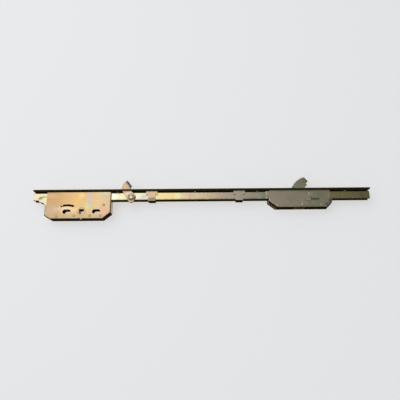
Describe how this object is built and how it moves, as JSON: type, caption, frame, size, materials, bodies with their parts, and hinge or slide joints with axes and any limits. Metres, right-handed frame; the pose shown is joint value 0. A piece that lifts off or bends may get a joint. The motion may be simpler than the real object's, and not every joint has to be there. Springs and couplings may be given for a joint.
{
  "type": "window espagnolette",
  "caption": "Espagnolette lock gear: long faceplate, sliding rail, flat gearbox with a square follower, a cased hook and a surface swing hook that fold away as the rail slides.",
  "frame": {"origin": "on the axis of the square spindle hole, half way between the case plates", "axes": "+X along the faceplate, the way the rail slides to unlock; +Y out of the faceplate's front; +Z out of the cases' cover side"},
  "size_m": [0.494, 0.0633, 0.02],
  "materials": {
    "faceplate_zinc": "yellow passivated zinc, satin",
    "case_zinc": "yellow passivated zinc, satin",
    "rail_zinc": "yellow passivated zinc, satin",
    "hook_zinc": "yellow passivated zinc, satin",
    "clip_zinc": "yellow passivated zinc, satin",
    "rivet_zinc": "yellow passivated zinc, worn at the heads",
    "follower_zinc": "yellow passivated zinc, satin",
    "spring_steel": "bright spring strip"
  },
  "bodies": {
    "base": {"faceplate": "faceplate_zinc", "gearbox_base": "case_zinc", "gearbox_cover": "case_zinc", "gearbox_pillars": "rivet_zinc", "detent_spring": "spring_steel", "guide_clip_left": "clip_zinc", "guide_clip_right": "clip_zinc", "hook_case_base": "case_zinc", "hook_case_cover": "case_zinc", "hook_case_rivets": "rivet_zinc", "hook_pivot": "rivet_zinc"},
    "rail": {"drive_rail": "rail_zinc", "rack": "rail_zinc", "rack_rivets": "rivet_zinc", "guide_stud": "rivet_zinc", "drive_pin": "rivet_zinc", "swing_hook_rivet": "rivet_zinc"},
    "follower": {"follower": "follower_zinc"},
    "hook": {"hook": "hook_zinc"},
    "swing_hook": {"swing_hook": "hook_zinc"}
  },
  "joints": [
    {"name": "rail_slide", "type": "slide", "parent": "base", "child": "rail", "axis": [1, 0, 0], "range_m": [0, 0.01414]},
    {"name": "follower_turn", "type": "hinge", "parent": "base", "child": "follower", "pos_m": [0, 0, 0], "axis": [0, 0, 1], "range_deg": [-90, 0]},
    {"name": "hook_swing", "type": "hinge", "parent": "base", "child": "hook", "pos_m": [0.3355, 0.0238, 0], "axis": [0, 0, 1], "range_deg": [0, 70]},
    {"name": "swing_hook_turn", "type": "hinge", "parent": "rail", "child": "swing_hook", "pos_m": [0.0718, 0.0206, 0.0069], "axis": [0, 0, 1], "range_deg": [0, 57]}
  ],
  "couplings": [
    {"joint": "follower_turn", "follows": "rail_slide", "rad_per_m": -111.11},
    {"joint": "hook_swing", "follows": "rail_slide", "rad_per_m": 86.419},
    {"joint": "swing_hook_turn", "follows": "rail_slide", "rad_per_m": 70.37}
  ]
}
